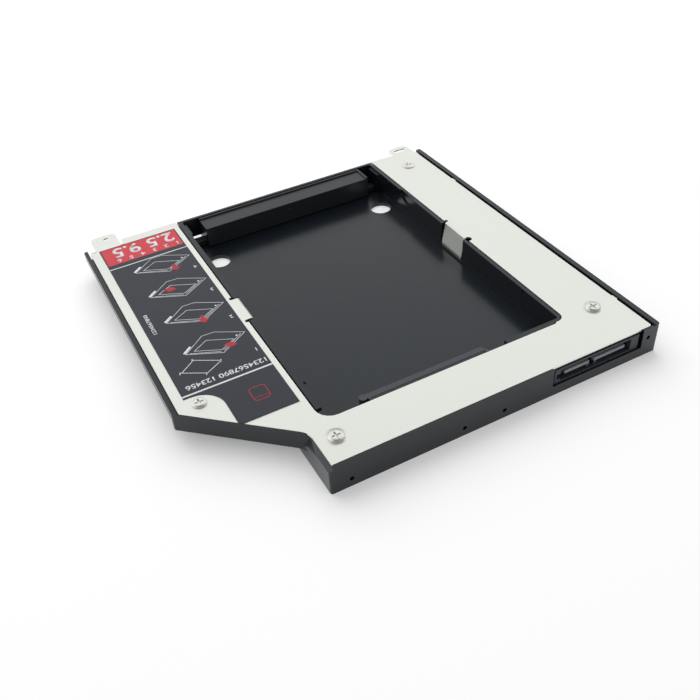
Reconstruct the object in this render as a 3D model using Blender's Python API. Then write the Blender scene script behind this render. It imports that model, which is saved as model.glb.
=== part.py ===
"""Slim optical-bay drive caddy: a moulded frame under a stamped cover plate.

A 2.5 inch drive lies in the open bay, plugs into the connector at the bay's near end and
is held by a lift-out retainer at its far end. The near edge carries the host plug.

Metres, +Z up. The shapes are drawn from the middle of the near edge, with +X along it and
+Y towards the bezel edge. Every object is then placed so that the world's origin lies at
the middle of the underside, bezel tabs included.
"""

import math

import bmesh
import bpy

for leftover in list(bpy.data.objects):
    bpy.data.objects.remove(leftover, do_unlink=True)

# Clearances
seat_gap = 0.0003
film_gap = 0.00005
contact_gap = 0.0001
slide_gap = 0.0004
drive_side_room = 0.00285
drive_end_room = 0.0002
overshoot = 0.002

# The drive that the bay takes
drive_width = 0.06985
drive_length = 0.1002
drive_edge = 0.0168
drive_screw_pitch = 0.0617
drive_screw_from_edge = 0.0906

# Frame: four strips side by side, which add up to the 128 mm of a slim bay
wing_strip = 0.0260
left_strip = 0.0080
right_strip = 0.0213
bay_strip = drive_width + drive_side_room
body_height = 0.0095
wing_height = 0.0058
wall = 0.0016
thin_wall = 0.0010
rib = 0.0009
floor_thickness = 0.0012
left_rail = 0.0012
rail_setback = 0.0018
rail_chamfer = 0.0029
rail_chamfer_start = 0.0013
corner_radius = 0.0007
bay_near = 0.0170
notch_depth = 0.0135
notch_fillet = 0.0038
notch_chamfer = 0.0012
notch_chamfer_near = 0.0010
notch_chamfer_far = 0.0027
diagonal_angle = math.radians(42.2)
channel_cells = 4
rib_below_deck = 0.0012
floor_hole_diameter = 0.0072
pin_hole_diameter = 0.0012
pin_hole_from_wall = 0.0033
pin_hole_from_near = 0.0212
face_hole_diameter = 0.0013
face_hole_depth = 0.0012
face_hole_height = 0.0026
face_hole_from_notch = 0.0058
face_hole_middle = 0.0003
face_hole_pitch = 0.0123
corner_hole_height = 0.0060
corner_hole_from_side = 0.0036
ledge_width = 0.0009
ledge_height = 0.0007
grip_diameter = 0.0086
grip_depth = 0.0005
grip_from_far = 0.0264
nub_diameter = 0.0016
nub_height = 0.0003
nub_below_deck = 0.0006
step_length = 0.0045
step_below_deck = 0.0006
step_from_far = 0.0200
far_slot_length = 0.0036
far_slot_from_wall = 0.0022
far_slot_height = 0.0011
rail_gap_width = 0.0011
rail_gap_length = 0.0035

# Cover plate
plate_thickness = 0.0005
plate_drop = 0.0003
plate_near_setback = 0.0008
plate_far_setback = 0.0004
plate_diagonal_setback = 0.0005
lip_gap = 0.00015
plate_gap_left = 0.0005
plate_gap_right = 0.0007
plate_bay_gap_left = 0.0005
plate_bay_cover_right = 0.0002
plate_corner_right = 0.0024
plate_corner_left = 0.0046
plate_jog = 0.0005
plate_jog_from_corner = 0.0032
tooth_length = 0.0024
tooth_height = 0.0004
tooth_near = 0.0158
tooth_far = 0.0980
bay_tab_near = 0.0647
bay_tab_length = 0.0111
bay_tab_shift_left = 0.0015
bay_tab_lean = 0.0011
bay_tab_relief = 0.0022
bezel_tab_reach = 0.0058
bezel_tab_slope = 0.0032
bezel_tab_corner = 0.0016
bezel_tab_right_width = 0.0084
bezel_tab_left_width = 0.0113
bezel_tab_right_drop = 0.0008
bezel_tab_left_drop = 0.0003
bezel_tab_side_notch = 0.0009
bezel_tab_left_notch = 0.0021
bezel_slot_length = 0.0048
bezel_slot_width = 0.0016
bezel_hole_length = 0.0021
bezel_hole_width = 0.0014
bezel_hole_from_end = 0.0019
bezel_hole_from_edge = 0.0024

# Label
label_thickness = 0.0001
label_left_margin = 0.0028
label_right_margin = 0.0017
label_far_margin = 0.0038
label_near_margin = 0.0001
label_screw_side = 0.0059
label_screw_far = 0.0033
label_arc_radius = 0.0070
label_corner = 0.0012

# Cover screws
shank_diameter = 0.0020
shank_length = 0.0036
pilot_room = 0.0006
boss_wall = 0.0019
pan_head_height = 0.0005
flush_head_height = 0.00025
near_left_head = 0.0044
near_right_head = 0.0044
wing_head = 0.0040
far_right_head = 0.0048
recess_span = 0.0024
recess_width = 0.0005
recess_depth = 0.0005
recess_floor = 0.00005
near_left_screw_in = 0.0064
near_left_screw_from_near = 0.0085
near_right_screw_in = 0.0104
wing_screw_in = 0.0077
wing_screw_from_diagonal = 0.0072
far_right_screw_in = 0.0099
far_right_screw_from_far = 0.0082

# Retainer
retainer_depth = 0.0075
retainer_below_rim = 0.0002
retainer_left_room = 0.0057
retainer_right_room = 0.0050
retainer_wall = 0.0012
retainer_cells = 6
retainer_rim = 0.0008
retainer_rim_height = 0.0005
arm_height = 0.0019
arm_width = 0.0030
arm_setback = 0.0018
bump_diameter = 0.0014
bump_height = 0.0004
bump_level = 0.0041
guide_thickness = 0.0009
guide_length = 0.0066
guide_below_deck = 0.0002

# Adapter board
board_thickness = 0.0008
board_level = 0.0023
board_left_room = 0.0023
board_right_room = 0.0061
board_step = 0.0115
board_step_from_screw = 0.0056
board_ribs = 5
peg_diameter = 0.0018
peg_height = 0.0008
peg_hole_room = 0.0006
peg_from_nose = 0.0048
peg_from_cross_wall = 0.0029
peg_from_host = 0.0039
peg_from_near = 0.0072
capacitor_length = 0.0020
capacitor_width = 0.0012
capacitor_height = 0.0009
capacitor_pitch = 0.0090

# Host plug
contact_pitch = 0.00127
contact_width = 0.0006
contact_thickness = 0.0002
host_from_right = 0.0066
host_width = 0.0285
host_headroom = 0.0006
host_length = 0.0084
host_setback = 0.0006
host_wall = 0.0006
host_left_cheek = 0.0019
host_right_cheek = 0.0028
host_cheek_slot = 0.0011
host_socket_depth = 0.0055
host_window_room = 0.0009
tongue_level = 0.0018
tongue_thickness = 0.0010
tongue_setback = 0.0005
tongue_left_gap = 0.0018
tongue_right_gap = 0.0016
power_margin = 0.00045
data_margin = 0.0010
key_width = 0.0009
key_height = 0.0011
host_power_count = 6
host_data_count = 7

# Drive connector
nose_width = 0.0372
nose_offset = 0.0048
nose_reach = 0.0041
plug_length = 0.0120
plug_height = 0.0034
nose_length = 0.0022
nose_drop = 0.0004
post_diameter = 0.0023
post_overlap = 0.0002
plug_gap_room = 0.0043
slot_height = 0.0012
slot_depth = 0.0060
slot_end_margin = 0.0006
slot_key_height = 0.0004
slot_divider = 0.0016
drive_power_count = 15
drive_data_count = 7

# Faces and levels that these sizes give
body_width = wing_strip + left_strip + bay_strip + right_strip
body_depth = drive_edge + drive_length + drive_end_room + retainer_depth + seat_gap + thin_wall
near_edge = -(body_depth + bezel_tab_reach) / 2
side = body_width / 2
notch_x = -side + wing_strip
bay_left = notch_x + left_strip
bay_right = bay_left + bay_strip
bay_middle = (bay_left + bay_right) / 2
bay_far = body_depth - thin_wall
bay_outer_left = bay_left - wall
bay_outer_right = bay_right + wall
cross_wall = bay_near - wall
rail_end = body_depth - rail_setback
rail_left = -side + left_rail
rail_right = side - wall
channel_far = rail_end - wall
wing_bottom = body_height - wing_height
plate_top = body_height - plate_drop
plate_bottom = plate_top - plate_thickness
deck = plate_bottom - seat_gap
rim_top = plate_top - film_gap * 4
plate_left = rail_left + plate_gap_left
plate_right = rail_right - plate_gap_right
opening_left = bay_outer_left - plate_bay_gap_left
opening_right = bay_outer_right - plate_bay_cover_right
opening_near = cross_wall - seat_gap
jog_x = opening_right - plate_jog_from_corner
retainer_far = bay_far - seat_gap
retainer_near = retainer_far - retainer_depth
retainer_bottom = floor_thickness + seat_gap
retainer_top = rim_top - retainer_below_rim
board_top = board_level + board_thickness
host_height = plate_bottom - board_top - contact_gap - host_headroom
host_right = side - host_from_right
host_left = host_right - host_width
nose_right = bay_middle + nose_width / 2 - nose_offset
nose_left = nose_right - nose_width
nose_front = bay_near + nose_reach


def diagonal_y(x, inset=0.0):
    """Y at x of the wing's diagonal front edge, or of a line that runs inset behind it."""
    return notch_depth + (notch_x - x) * math.tan(diagonal_angle) + inset / math.cos(diagonal_angle)


# Name, x, y, head diameter and head height of each cover screw
wing_screw_x = -side + wing_screw_in
wing_screw_y = diagonal_y(wing_screw_x) + wing_screw_from_diagonal
near_right_screw_x = side - near_right_screw_in
screws = [
    ("cover_screw_near_left", notch_x + near_left_screw_in, near_left_screw_from_near, near_left_head,
     pan_head_height),
    ("cover_screw_near_right", near_right_screw_x, cross_wall, near_right_head, pan_head_height),
    ("cover_screw_wing", wing_screw_x, wing_screw_y, wing_head, pan_head_height),
    ("cover_screw_far_right", side - far_right_screw_in, rail_end - far_right_screw_from_far,
     far_right_head, flush_head_height),
]
board_step_x = near_right_screw_x - board_step_from_screw
pegs = [
    (nose_left - peg_from_nose, cross_wall - peg_from_cross_wall),
    (host_left - peg_from_host, peg_from_near),
]

cutters = bpy.data.collections.new("cutters")
bpy.context.scene.collection.children.link(cutters)


def material(name, colour, roughness, metallic):
    """Make a Principled material."""
    new = bpy.data.materials.new(name)
    new.use_nodes = True
    shader = new.node_tree.nodes["Principled BSDF"]
    shader.inputs["Base Color"].default_value = (*colour, 1.0)
    shader.inputs["Roughness"].default_value = roughness
    shader.inputs["Metallic"].default_value = metallic
    return new


black_plastic = material("black_plastic", (0.030, 0.031, 0.034), 0.45, 0.0)
satin_metal = material("satin_metal", (0.76, 0.78, 0.75), 0.35, 0.9)
label_print = material("label_print", (0.055, 0.058, 0.066), 0.55, 0.0)
bright_steel = material("bright_steel", (0.80, 0.80, 0.78), 0.25, 1.0)
board_green = material("board_green", (0.02, 0.12, 0.06), 0.40, 0.0)
grey_nylon = material("grey_nylon", (0.30, 0.31, 0.33), 0.50, 0.0)
gold_plate = material("gold_plate", (0.83, 0.62, 0.25), 0.25, 1.0)
ceramic = material("ceramic", (0.38, 0.27, 0.17), 0.55, 0.0)


def outline(corners, steps=5):
    """Turn (x, y) and (x, y, radius) corners into points, with an arc at each radius."""
    points = []
    count = len(corners)
    for index, corner in enumerate(corners):
        if len(corner) == 2 or corner[2] <= 0:
            points.append((corner[0], corner[1]))
            continue
        x, y, radius = corner
        before, after = corners[index - 1], corners[(index + 1) % count]
        way_in = math.atan2(y - before[1], x - before[0])
        way_out = math.atan2(after[1] - y, after[0] - x)
        turn = math.remainder(way_out - way_in, 2 * math.pi)
        tangent = radius * math.tan(abs(turn) / 2)
        start = way_in - math.copysign(math.pi / 2, turn)
        centre_x = x - tangent * math.cos(way_in) - radius * math.cos(start)
        centre_y = y - tangent * math.sin(way_in) - radius * math.sin(start)
        for step in range(steps + 1):
            angle = start + turn * step / steps
            points.append((centre_x + radius * math.cos(angle), centre_y + radius * math.sin(angle)))
    return points


def rectangle(left, right, near, far, radius=0.0):
    """A rectangle's outline, with one radius at all its corners."""
    corners = [(left, near), (right, near), (right, far), (left, far)]
    return outline([(x, y, radius) for x, y in corners])


def block(left, right, near, far, bottom, top):
    """A plain block as a shape for solid, cut and join."""
    return rectangle(left, right, near, far), bottom, top


def circle(x, y, diameter, steps=20):
    """Points round a circle."""
    turn = 2 * math.pi / steps
    radius = diameter / 2
    return [(x + radius * math.cos(turn * i), y + radius * math.sin(turn * i)) for i in range(steps)]


def extrude(bm, points, low, high, axes="XYZ", end_points=None):
    """Extrude an outline along the last of three axes.

    It tapers to end_points if given, each of which may carry a level of its own.
    """
    order = ["XYZ".index(axis) for axis in axes]

    def place(first, second, third):
        position = [0.0, 0.0, 0.0]
        for slot, value in zip(order, (first, second, third)):
            position[slot] = value
        return position

    base = bm.faces.new([bm.verts.new(place(a, b, low)) for a, b in points])
    grown = bmesh.ops.extrude_face_region(bm, geom=[base])
    cap = next(item for item in grown["geom"] if isinstance(item, bmesh.types.BMFace))
    for loop, (a, b, *level) in zip(cap.loops, end_points or points):
        loop.vert.co = place(a, b, *(level or [high]))


def finish_object(name, bm, finish):
    """Turn a bmesh into an object at its place: a piece with a finish, or a hidden cutter."""
    bmesh.ops.recalc_face_normals(bm, faces=bm.faces)
    mesh = bpy.data.meshes.new(name)
    bm.to_mesh(mesh)
    bm.free()
    made = bpy.data.objects.new(name, mesh)
    made.location = (0.0, near_edge, 0.0)
    if finish is None:
        cutters.objects.link(made)
        made.display_type = "WIRE"
        made.hide_render = True
    else:
        bpy.context.scene.collection.objects.link(made)
        mesh.materials.append(finish)
    return made


def solid(name, shapes, finish=None):
    """Make one object from shapes, each an outline, its two levels and optional axes."""
    bm = bmesh.new()
    for shape in shapes:
        extrude(bm, *shape)
    return finish_object(name, bm, finish)


def combine(target, operation, name, shapes):
    """Add a live Boolean. The shapes of one call don't touch each other."""
    modifier = target.modifiers.new(name, "BOOLEAN")
    modifier.operation = operation
    modifier.solver = "EXACT"
    modifier.object = solid(f"{target.name}_{name}", shapes)


def cut(target, name, shapes):
    """Cut shapes out of a piece."""
    combine(target, "DIFFERENCE", name, shapes)


def join(target, name, shapes):
    """Join shapes to a piece."""
    combine(target, "UNION", name, shapes)


def build_frame():
    """The moulded frame: tray, thin wing, rails, ribs, bosses and the host plug's window."""
    body = outline([
        (notch_x, 0.0, corner_radius),
        (side, 0.0, corner_radius),
        (side, rail_end, wall * 0.45),
        (bay_outer_right, rail_end),
        (bay_outer_right, body_depth),
        (bay_outer_left, body_depth),
        (bay_outer_left, rail_end),
        (-side, rail_end, left_rail * 0.45),
        (-side, diagonal_y(-side), corner_radius),
        (notch_x, notch_depth, notch_fillet),
    ])
    frame = solid("frame", [(body, 0.0, body_height)], black_plastic)
    past_near, past_far = -overshoot, body_depth + overshoot
    above = body_height + overshoot
    cut(frame, "under_wing", [
        block(-side - overshoot, notch_x, past_near, past_far, -overshoot, wing_bottom),
    ])
    cut(frame, "between_rails", [block(rail_left, rail_right, past_near, past_far, plate_top, above)])
    lip = plate_diagonal_setback - lip_gap
    seat_corner = notch_x + notch_chamfer - lip_gap
    seat = outline([
        (seat_corner, plate_near_setback - lip_gap),
        (rail_right, plate_near_setback - lip_gap),
        (rail_right, past_far),
        (rail_left, past_far),
        (rail_left, diagonal_y(rail_left, lip)),
        (seat_corner, diagonal_y(seat_corner, lip), notch_fillet + notch_chamfer),
    ])
    cut(frame, "plate_seat", [(seat, deck, above)])
    rim = outline([
        (bay_outer_left, opening_near + plate_corner_left),
        (nose_right, opening_near + plate_corner_left),
        (nose_right, cross_wall),
        (jog_x - plate_jog - seat_gap, cross_wall),
        (jog_x - seat_gap, cross_wall + plate_jog),
        (opening_right - seat_gap, cross_wall + plate_jog, plate_corner_right - seat_gap),
        (opening_right - seat_gap, body_depth),
        (bay_outer_left, body_depth),
    ])
    join(frame, "bay_rim", [(rim, deck - thin_wall, rim_top)])
    bay = rectangle(bay_left, bay_right, bay_near, bay_far, corner_radius)
    cut(frame, "bay", [(bay, floor_thickness, above)])
    cut_pockets(frame)
    cut_wing_pocket(frame)
    add_ribs_and_bosses(frame)
    shape_edges(frame)
    add_bay_details(frame)
    cut_reliefs(frame)
    cut_holes(frame)
    return frame


def cut_pockets(frame):
    """The board's pocket, open to the bay behind the drive connector, and the two channels."""
    far = cross_wall
    board_pocket = outline([
        (bay_left, wall), (side - board_right_room, wall, corner_radius),
        (side - board_right_room, board_step, corner_radius), (board_step_x, board_step),
        (board_step_x, far, corner_radius), (bay_left, far),
    ])
    right_channel = rectangle(bay_outer_right, rail_right, bay_near, channel_far, corner_radius)
    left_channel = rectangle(notch_x + wall, bay_outer_left, wall, channel_far, corner_radius)
    cut(frame, "pockets", [
        (board_pocket, floor_thickness, body_height),
        (right_channel, floor_thickness, body_height),
        (left_channel, floor_thickness, body_height),
    ])
    cut(frame, "plug_gap", [
        block(bay_left, nose_right + plug_gap_room, far - overshoot / 2, bay_near + overshoot / 2,
              floor_thickness, body_height + overshoot),
    ])


def cut_wing_pocket(frame):
    """The shallow pocket in the wing, with a wall along the diagonal."""
    left = max(rail_left, -side + rail_chamfer - floor_thickness + wall)
    right = notch_x - thin_wall
    pocket = outline([
        (right, diagonal_y(right, wall), corner_radius),
        (right, channel_far, corner_radius),
        (left, channel_far, corner_radius),
        (left, diagonal_y(left, wall), corner_radius),
    ])
    cut(frame, "wing_pocket", [(pocket, wing_bottom + floor_thickness, body_height)])


def shape_edges(frame):
    """The notch wall's chamfer, which deepens towards the wing, and the bevel under the wing's rail."""
    outer = notch_x - overshoot
    inner = notch_x + notch_chamfer

    def chamfer(depth):
        slope = overshoot * depth / notch_chamfer
        return [(outer, body_height), (outer, deck - depth - slope), (inner, deck), (inner, body_height)]

    in_diagonal = [(x, z, diagonal_y(x, -film_gap)) for x, z in chamfer(notch_chamfer_far)]
    cut(frame, "notch_chamfer", [(chamfer(notch_chamfer_near), -overshoot, 0.0, "XZY", in_diagonal)])
    left, below = -side - overshoot, wing_bottom - overshoot
    leg = rail_chamfer + 2 * overshoot
    bevel = [(left, below), (left + leg, below), (left, below + leg)]
    cut(frame, "rail_chamfer", [
        (bevel, diagonal_y(-side) + rail_chamfer_start, body_depth + overshoot, "XZY"),
    ])


def add_ribs_and_bosses(frame):
    """Screw bosses, cross ribs in the channels and the wing, and the board's supports."""
    bosses = []
    for _, x, y, _, _ in screws:
        bottom = wing_bottom if x < notch_x else 0.0
        bosses.append((circle(x, y, shank_diameter + 2 * boss_wall), bottom, deck))
    join(frame, "bosses", bosses)
    ribs = []
    rib_top = deck - rib_below_deck
    pitch = (channel_far - bay_near) / channel_cells
    for index in range(1, channel_cells):
        y = bay_near + index * pitch
        ribs.append(block(bay_right + wall / 2, side - wall / 2, y, y + rib, floor_thickness / 2, rib_top))
    pitch = (channel_far - diagonal_y(-side)) / channel_cells
    for index in range(1, channel_cells):
        y = diagonal_y(-side) + index * pitch
        ribs.append(block(-side + left_rail / 2, bay_left - wall / 2, y, y + rib,
                          wing_bottom + floor_thickness / 2, rib_top))
    join(frame, "ribs", ribs)
    supports = []
    first, last = bay_left + board_left_room + wall, side - board_right_room - wall
    spacing = (last - first) / (board_ribs - 1)
    for index in range(board_ribs):
        x = first + index * spacing
        supports.append(block(x - rib / 2, x + rib / 2, wall / 2, board_step - wall,
                              floor_thickness / 2, board_level - seat_gap))
    join(frame, "board_supports", supports)
    join(frame, "board_pegs", [(circle(x, y, peg_diameter, 14), floor_thickness / 2, board_top + peg_height)
                               for x, y in pegs])


def add_bay_details(frame):
    """The ledge along the bay's right wall, the retainer's guides, the nubs and the left step."""
    inside_right, inside_left = bay_right + wall / 2, bay_left - wall / 2
    guide_far = bay_far - rib
    guide_near = guide_far - guide_length
    guide_bottom, guide_top = floor_thickness / 2, deck - guide_below_deck
    join(frame, "bay_ledge", [
        block(bay_right - ledge_width, inside_right, bay_near - wall / 2, guide_near - guide_length / 2,
              guide_bottom, floor_thickness + ledge_height),
    ])
    join(frame, "retainer_guides", [
        block(inside_left, bay_left + guide_thickness, guide_near, guide_far, guide_bottom, guide_top),
        block(bay_right - guide_thickness, inside_right, guide_near, guide_far, guide_bottom, guide_top),
    ])
    nub_z = deck - nub_below_deck
    step_far = bay_far - step_from_far + step_length
    join(frame, "nubs", [
        (circle(bay_near + drive_length / 6, nub_z, nub_diameter, 12), bay_right - nub_height, inside_right,
         "YZX"),
        (circle(guide_near - guide_length, nub_z, nub_diameter, 12), bay_right - nub_height, inside_right,
         "YZX"),
        block(inside_left, bay_left + nub_height, step_far - step_length, step_far, guide_bottom,
              deck - step_below_deck),
    ])
    cut(frame, "grip", [
        (circle(bay_far - grip_from_far, body_height, grip_diameter, 28), bay_right - overshoot / 4,
         bay_right + grip_depth, "YZX"),
    ])


def cut_reliefs(frame):
    """Room for the plate's spring tabs and its right bezel tab, and the gaps at the far edge."""
    tab_far = bay_tab_near + bay_tab_length
    room = 2 * seat_gap
    cut(frame, "tab_reliefs", [
        block(bay_outer_left - room, bay_left + room, bay_tab_near - bay_tab_shift_left - room,
              tab_far - bay_tab_shift_left + room, floor_thickness, body_height),
        block(bay_right - room, bay_outer_right + room, bay_tab_near - room, tab_far + room,
              floor_thickness, body_height),
    ])
    cut(frame, "bezel_tab_seat", [
        block(plate_right - bezel_tab_right_width - room, rail_right, rail_end - wall * 2,
              rail_end + overshoot, deck - bezel_tab_right_drop, body_height),
    ])
    slot_left = bay_left + far_slot_from_wall
    cut(frame, "far_slot", [
        block(slot_left, slot_left + far_slot_length, bay_far - wall, body_depth + overshoot,
              -overshoot, floor_thickness + far_slot_height),
    ])
    cut(frame, "rail_gap", [
        block(rail_left, rail_left + rail_gap_width, rail_end - rail_gap_length, rail_end + overshoot,
              0.0, body_height),
    ])


def cut_holes(frame):
    """Pilot holes, floor holes, the blind holes in the near face and the host plug's window."""
    pilot_bottom = plate_top - shank_length - slide_gap
    cut(frame, "pilot_holes", [(circle(x, y, shank_diameter + pilot_room), pilot_bottom, body_height)
                               for _, x, y, _, _ in screws])
    floor_hole_y = drive_edge + drive_screw_from_edge
    through = floor_thickness * 2
    cut(frame, "floor_holes", [
        (circle(bay_middle - drive_screw_pitch / 2, floor_hole_y, floor_hole_diameter, 24), -overshoot,
         through),
        (circle(bay_middle + drive_screw_pitch / 2, floor_hole_y, floor_hole_diameter, 24), -overshoot,
         through),
        (circle(bay_left + pin_hole_from_wall, bay_near + pin_hole_from_near, pin_hole_diameter, 10),
         -overshoot, through),
    ])
    cut(frame, "window", [
        block(host_left - host_window_room, host_right + host_window_room, -overshoot, wall + overshoot / 2,
              board_top + film_gap, body_height),
    ])
    places = [
        (notch_x + face_hole_from_notch, face_hole_height),
        (face_hole_middle, face_hole_height),
        (face_hole_middle + face_hole_pitch, face_hole_height),
        (side - corner_hole_from_side, corner_hole_height),
    ]
    cut(frame, "near_face_holes", [(circle(x, z, face_hole_diameter, 10), -overshoot, face_hole_depth, "XZY")
                                   for x, z in places])


def build_cover_plate():
    """The stamped plate: a U round the bay, with bent tabs at the bay and the bezel edge."""
    tab_base = rail_end - wall
    right_tab = plate_right - bezel_tab_right_width
    left_tab = plate_left + bezel_tab_left_width
    edge_x = notch_x + notch_chamfer

    def tooth(y):
        half = tooth_length / 2
        tip = plate_right + tooth_height
        return [(plate_right, y - half), (tip, y - half + tooth_height),
                (tip, y + half - tooth_height), (plate_right, y + half)]

    edge = outline([
        (edge_x, plate_near_setback, corner_radius / 3),
        (plate_right, plate_near_setback, corner_radius),
        *tooth(tooth_near),
        *tooth(tooth_far),
        (plate_right, tab_base, corner_radius / 2),
        (right_tab, tab_base),
        (right_tab, body_depth - plate_far_setback, corner_radius / 2),
        (opening_right, body_depth),
        (opening_right, opening_near + plate_jog, plate_corner_right),
        (jog_x, opening_near + plate_jog),
        (jog_x - plate_jog, opening_near),
        (opening_left, opening_near, plate_corner_left),
        (opening_left, body_depth),
        (left_tab, body_depth),
        (left_tab, tab_base),
        (plate_left, tab_base, corner_radius),
        (plate_left, diagonal_y(plate_left, plate_diagonal_setback), corner_radius),
        (edge_x, diagonal_y(edge_x, plate_diagonal_setback), notch_fillet + notch_chamfer),
    ])
    plate = solid("cover_plate", [(edge, plate_bottom, plate_top)], satin_metal)
    add_bezel_tabs(plate, tab_base, right_tab, left_tab)
    add_bay_tabs(plate)
    below, above = plate_bottom - overshoot / 2, plate_top + overshoot / 2
    cut(plate, "screw_holes", [(circle(x, y, shank_diameter + pilot_room), below, above)
                               for _, x, y, _, _ in screws])
    return plate


def add_bezel_tabs(plate, tab_base, right_tab, left_tab):
    """Tabs at the bezel edge that step down from the plate, with a slot and a hole."""
    end = body_depth + bezel_tab_reach

    def profile(drop):
        low = plate_top - drop
        foot = tab_base + bezel_tab_slope
        start = tab_base - plate_thickness
        return [(start, plate_top), (tab_base, plate_top), (foot, low), (end, low),
                (end, low - plate_thickness), (foot, low - plate_thickness),
                (tab_base, plate_bottom), (start, plate_bottom)]

    right = (right_tab + bezel_tab_side_notch, plate_right + seat_gap)
    left = (plate_left + bezel_tab_left_notch, left_tab - bezel_tab_side_notch)
    join(plate, "bezel_tabs", [
        (profile(bezel_tab_right_drop), *right, "YZX"),
        (profile(bezel_tab_left_drop), *left, "YZX"),
    ])
    below, above = plate_bottom - overshoot, plate_top + overshoot
    hole_far = end - bezel_hole_from_end
    slot_middle = (right[0] + right[1]) / 2
    hole_right = left[1] - bezel_hole_from_edge
    cuts = [
        (rectangle(slot_middle - bezel_slot_length / 2, slot_middle + bezel_slot_length / 2,
                   hole_far - bezel_slot_width, hole_far, bezel_slot_width * 0.45), below, above),
        (rectangle(hole_right - bezel_hole_length, hole_right, hole_far - bezel_hole_width, hole_far,
                   bezel_hole_width * 0.45), below, above),
    ]
    for x, way in ((right[0], 1), (right[1], -1), (left[0], 1), (left[1], -1)):
        out = x - way * overshoot / 4
        middle = bezel_tab_corner * 0.3
        cuts.append(([
            (out, end - bezel_tab_corner), (x, end - bezel_tab_corner), (x + way * middle, end - middle),
            (x + way * bezel_tab_corner, end), (x + way * bezel_tab_corner, end + overshoot),
            (out, end + overshoot),
        ], below, above))
    cut(plate, "bezel_tab_cuts", cuts)


def add_bay_tabs(plate):
    """Spring tabs that bend down into the bay: the right one leans in, the left one is upright."""
    foot = floor_thickness + seat_gap
    bend = plate_thickness
    right_profile = [
        (opening_right + bend, plate_top), (opening_right + bend * 0.2, plate_top),
        (opening_right - bend * 0.6, plate_top - bend * 0.6),
        (opening_right - bend - bay_tab_lean, foot), (opening_right - bay_tab_lean, foot),
        (opening_right, plate_bottom - bend * 0.3), (opening_right + bend * 0.4, plate_bottom),
        (opening_right + bend, plate_bottom),
    ]
    inner = bay_left - bend
    left_profile = [
        (opening_left - bend, plate_top), (inner - bend * 0.2, plate_top),
        (inner + bend * 0.6, plate_top - bend * 0.6), (inner + bend * 0.6, foot),
        (inner - bend * 0.4, foot), (inner - bend * 0.4, plate_bottom - bend * 0.6),
        (inner - bend, plate_bottom), (opening_left - bend, plate_bottom),
    ]
    near, far = bay_tab_near, bay_tab_near + bay_tab_length
    left_near, left_far = near - bay_tab_shift_left, far - bay_tab_shift_left
    join(plate, "bay_tabs", [
        (right_profile, near, far, "XZY"),
        (left_profile, left_near, left_far, "XZY"),
    ])
    radius = bay_tab_relief / 2
    small = bay_tab_relief * 0.6
    below, above = plate_bottom - overshoot, plate_top + overshoot
    cut(plate, "tab_reliefs", [
        (circle(opening_right + radius * 0.4, near - radius, bay_tab_relief, 16), below, above),
        (circle(opening_right + radius * 0.4, far + small / 2, small, 12), below, above),
        (circle(opening_left - radius * 0.2, left_near - small / 2, small, 12), below, above),
        (circle(opening_left - radius * 0.2, left_far + small / 2, small, 12), below, above),
    ])


def build_label():
    """The printed film on the wing, cut back round the wing screw."""
    left = plate_left + label_left_margin
    right = opening_left - label_right_margin
    far = body_depth - label_far_margin
    _, screw_x, screw_y, _, _ = screws[2]
    clear_x = screw_x + label_screw_side
    clear_y = screw_y + label_screw_far
    corner_x = clear_x + label_corner
    near = diagonal_y(corner_x, plate_diagonal_setback) + label_near_margin
    film = outline([
        (left, clear_y),
        (clear_x, clear_y, label_arc_radius),
        (clear_x, diagonal_y(clear_x, plate_diagonal_setback) + label_near_margin),
        (corner_x, near),
        (right, near),
        (right, far),
        (left, far),
    ], 8)
    bottom = plate_top + film_gap
    return solid("label", [(film, bottom, bottom + label_thickness)], label_print)


def build_screw(name, x, y, head_diameter, head_height):
    """A screw turned about its own axis: pointed shank, crowned head and a cross recess."""
    head_bottom = plate_top + film_gap
    head_top = head_bottom + head_height
    shank = shank_diameter / 2
    tip = plate_top - shank_length
    profile = [
        (0.0, tip), (shank * 0.6, tip), (shank, tip + shank * 0.5), (shank, head_bottom),
        (head_diameter * 0.5, head_bottom), (head_diameter * 0.5, head_bottom + head_height * 0.45),
        (head_diameter * 0.46, head_bottom + head_height * 0.75), (head_diameter * 0.36, head_top),
        (0.0, head_top),
    ]
    bm = bmesh.new()
    ring = [bm.verts.new((x + radius, y, z)) for radius, z in profile]
    edges = [bm.edges.new(pair) for pair in zip(ring, ring[1:])]
    bmesh.ops.spin(bm, geom=ring + edges, axis=(0, 0, 1), cent=(x, y, 0), steps=24, angle=2 * math.pi,
                   use_merge=True)
    bmesh.ops.remove_doubles(bm, verts=bm.verts, dist=0.00001)
    screw = finish_object(name, bm, bright_steel)
    screw.data.shade_smooth()
    screw.data.set_sharp_from_angle(angle=math.radians(40))
    depth = min(recess_depth, head_height - recess_floor)
    arm, half = recess_span / 2, recess_width / 2
    cross = [(half, -arm), (half, -half), (arm, -half), (arm, half), (half, half), (half, arm),
             (-half, arm), (-half, half), (-arm, half), (-arm, -half), (-half, -half), (-half, -arm)]
    cut(screw, "recess", [([(x + a, y + b) for a, b in cross], head_top - depth, head_top + overshoot)])
    return screw


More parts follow.
